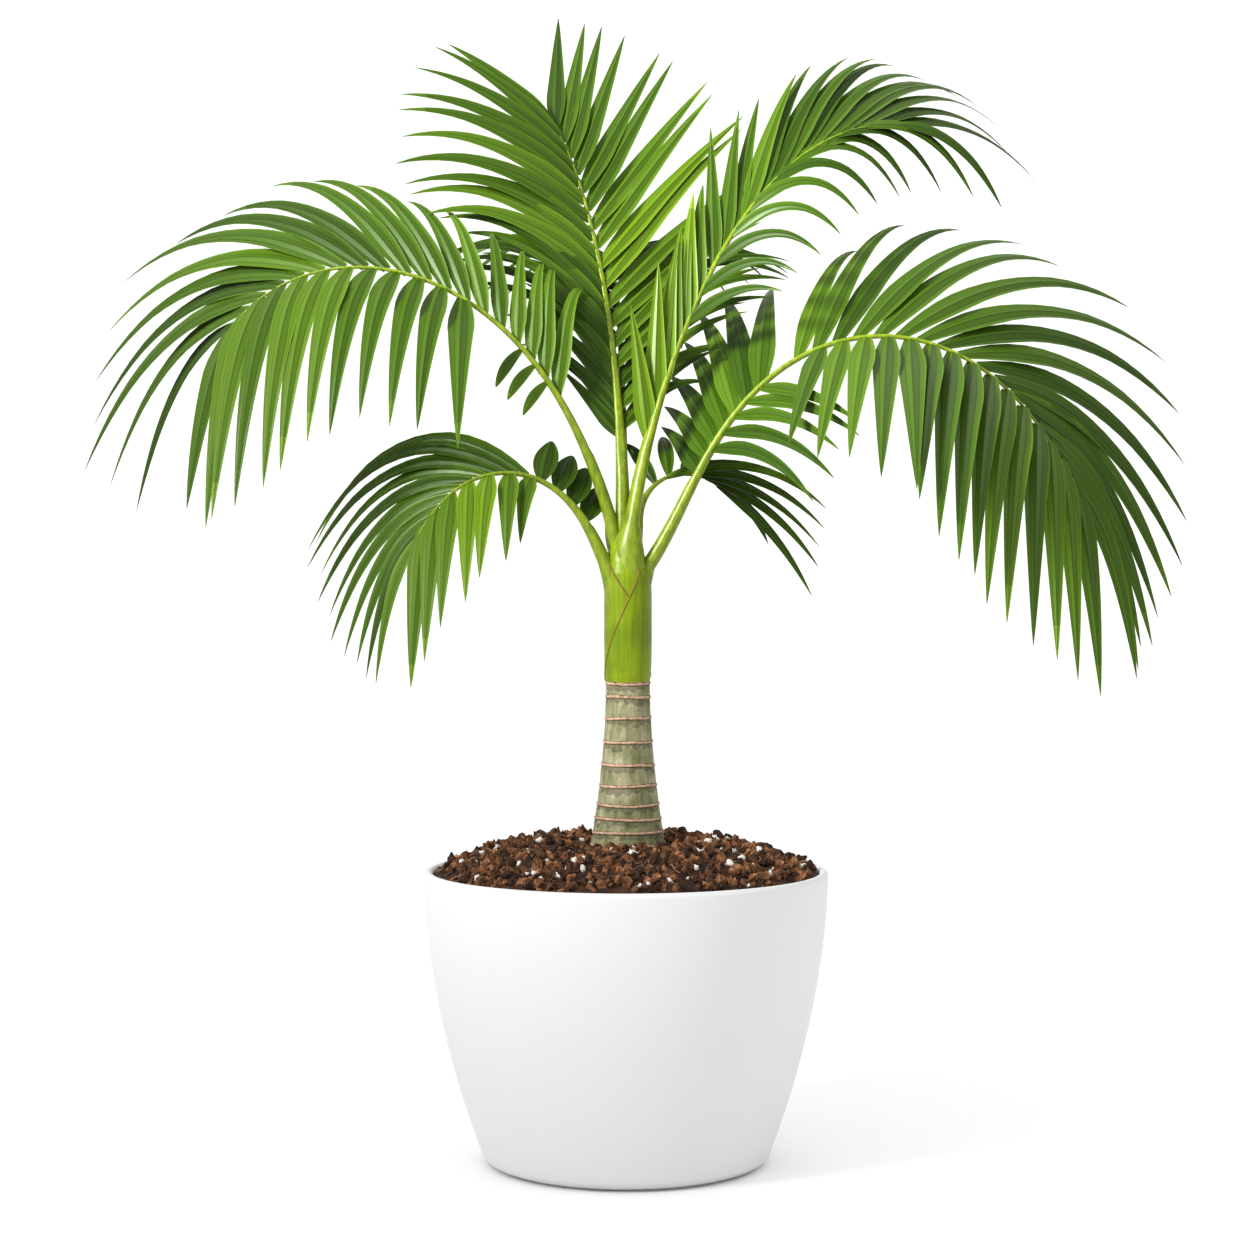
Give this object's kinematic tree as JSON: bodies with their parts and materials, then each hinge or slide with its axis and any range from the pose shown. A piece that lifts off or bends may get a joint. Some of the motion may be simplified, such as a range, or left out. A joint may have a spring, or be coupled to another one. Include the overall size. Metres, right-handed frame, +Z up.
{
  "type": "potted palm",
  "caption": "Young feather palm with a ringed trunk, a green crownshaft and arching fronds, standing in a round tapered pot of soil.",
  "frame": {"origin": "centre of the pot's flat underside, on the floor", "axes": "+Z up; the picture looks along +Y, with +X to its right"},
  "size_m": [1.2228, 0.7131, 1.259],
  "materials": {
    "pot": "satin white",
    "soil": "coarse dark potting soil with pale grit",
    "trunk": "grey-green bark with pale ring scars",
    "crownshaft": "smooth waxy yellow-green",
    "fronds": "glossy pleated green leaflets"
  },
  "bodies": {
    "root": {"pot": "pot", "soil": "soil", "trunk": "trunk", "crownshaft": "crownshaft", "frond_left_inner": "fronds", "frond_left_outer": "fronds", "frond_centre": "fronds", "frond_upper_right_inner": "fronds", "frond_upper_right_outer": "fronds", "frond_right_inner": "fronds", "frond_right_outer": "fronds", "frond_lower_left_inner": "fronds", "frond_lower_left_outer": "fronds", "frond_lower_right": "fronds", "frond_back_inner": "fronds", "frond_back_outer": "fronds"}
  },
  "joints": []
}
